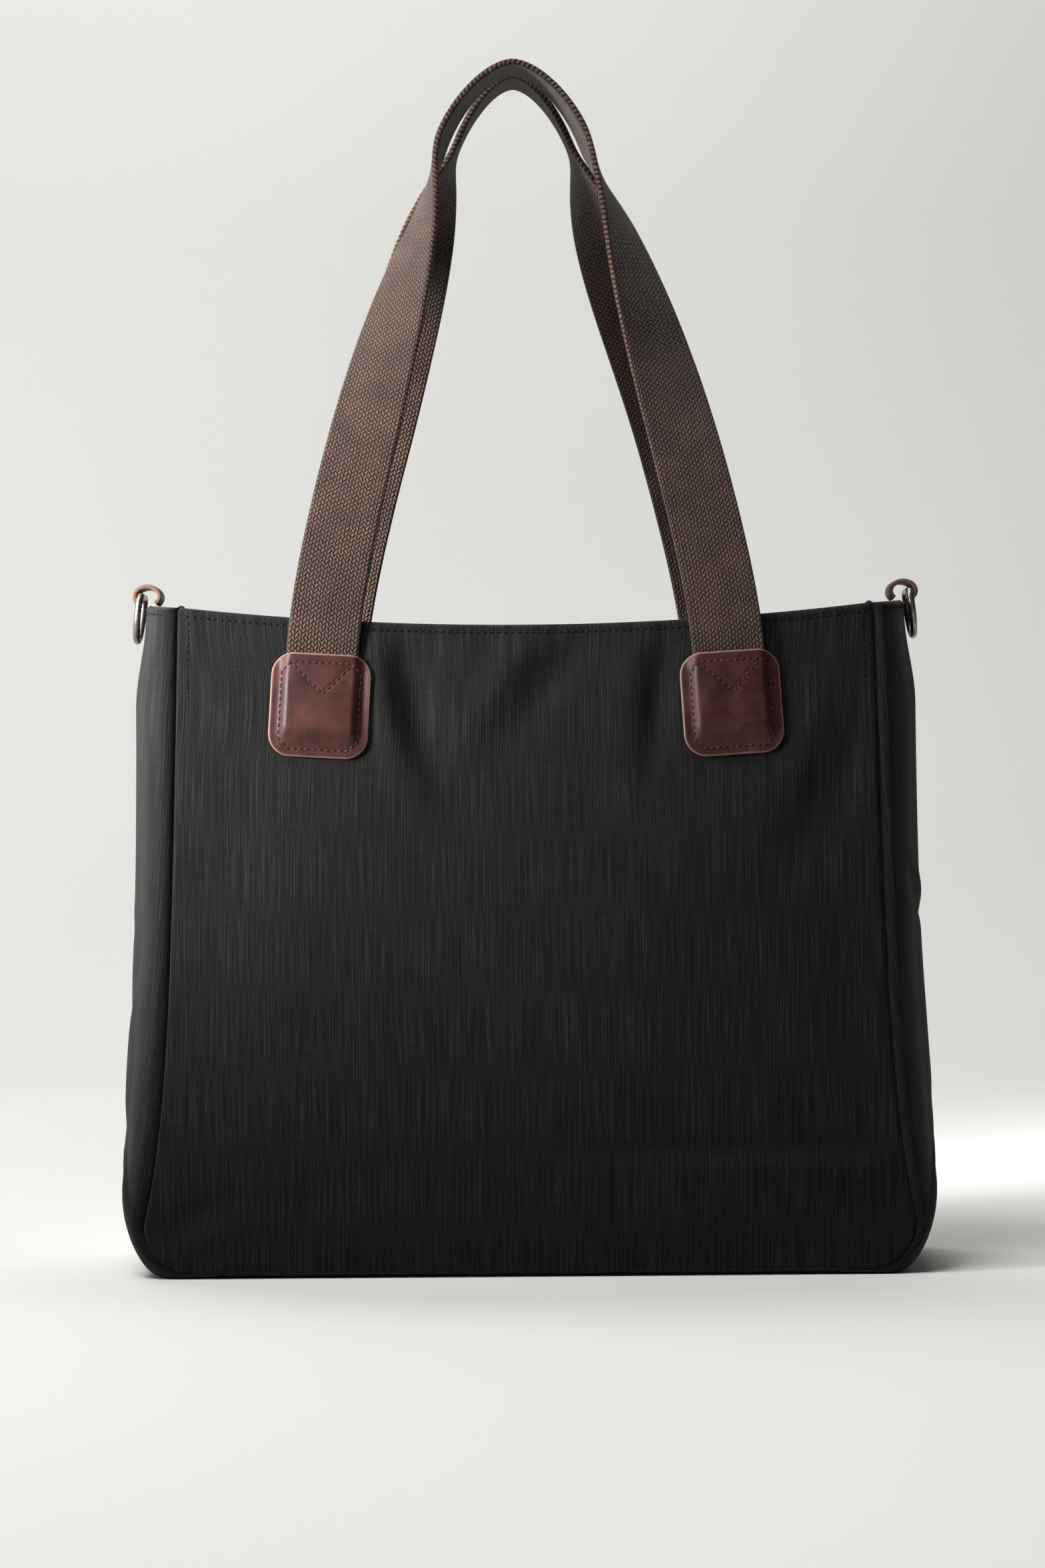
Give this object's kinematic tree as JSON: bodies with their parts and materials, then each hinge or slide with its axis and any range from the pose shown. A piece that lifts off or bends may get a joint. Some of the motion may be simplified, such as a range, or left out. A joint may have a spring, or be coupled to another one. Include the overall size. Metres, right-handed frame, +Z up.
{
  "type": "tote bag",
  "caption": "Open-top canvas tote with long cotton webbing handles sewn under leather patches, D-rings in leather tabs at the sides and a lined, zipped interior.",
  "frame": {"origin": "on the floor under the middle of the bag's base", "axes": "+Z up through the open mouth, -Y out of the front face, +X towards the right side ring as the front is seen"},
  "size_m": [0.438, 0.1432, 0.6477],
  "materials": {
    "canvas": "matte",
    "lining": "matte",
    "webbing": "matte",
    "leather": "satin",
    "backing": "matte",
    "board": "matte",
    "gunmetal": "antique satin",
    "zip_cloth": "matte"
  },
  "bodies": {
    "bag": {"front_panel": "canvas", "back_panel": "canvas", "side_gusset_left": "canvas", "side_gusset_right": "canvas", "base_panel": "canvas", "facing_front": "canvas", "facing_back": "canvas", "facing_left": "canvas", "facing_right": "canvas", "lining_front": "lining", "lining_back": "lining", "lining_left": "lining", "lining_right": "lining", "lining_base": "lining", "slip_pocket": "lining", "base_board": "board", "strap_tail_front_left": "webbing", "strap_tail_front_right": "webbing", "strap_tail_back_left": "webbing", "strap_tail_back_right": "webbing", "strap_patch_front_left": "leather", "strap_patch_front_right": "leather", "strap_patch_back_left": "leather", "strap_patch_back_right": "leather", "strap_backer_front_left": "backing", "strap_backer_front_right": "backing", "strap_backer_back_left": "backing", "strap_backer_back_right": "backing", "ring_tab_left": "leather", "ring_tab_right": "leather", "snap_socket": "gunmetal", "snap_stud": "gunmetal", "snap_socket_washer": "gunmetal", "snap_stud_washer": "gunmetal", "zip_tape": "zip_cloth", "zip_coil": "zip_cloth"},
    "front_handle": {"front_handle": "webbing"},
    "back_handle": {"back_handle": "webbing"},
    "ring_left": {"ring_left": "gunmetal"},
    "ring_right": {"ring_right": "gunmetal"},
    "zip_slider": {"zip_slider": "gunmetal"},
    "zip_pull": {"zip_pull": "gunmetal"}
  },
  "joints": [
    {"name": "front_handle_fold", "type": "hinge", "parent": "bag", "child": "front_handle", "pos_m": [0, -0.0643, 0.3304], "axis": [1, 0, 0], "range_deg": [0, 180]},
    {"name": "back_handle_fold", "type": "hinge", "parent": "bag", "child": "back_handle", "pos_m": [0, 0.0643, 0.3304], "axis": [-1, 0, 0], "range_deg": [0, 180]},
    {"name": "ring_left_swing", "type": "hinge", "parent": "bag", "child": "ring_left", "pos_m": [-0.20795, 0, 0.3631], "axis": [0, 1, 0], "range_deg": [0, 150]},
    {"name": "ring_right_swing", "type": "hinge", "parent": "bag", "child": "ring_right", "pos_m": [0.20795, 0, 0.3631], "axis": [0, -1, 0], "range_deg": [0, 150]},
    {"name": "zip_slide", "type": "slide", "parent": "bag", "child": "zip_slider", "axis": [1, 0, 0], "range_m": [0, 0.124]},
    {"name": "zip_pull_flip", "type": "hinge", "parent": "zip_slider", "child": "zip_pull", "pos_m": [-0.062, 0.04935, 0.2806], "axis": [-1, 0, 0], "range_deg": [0, 150]}
  ]
}
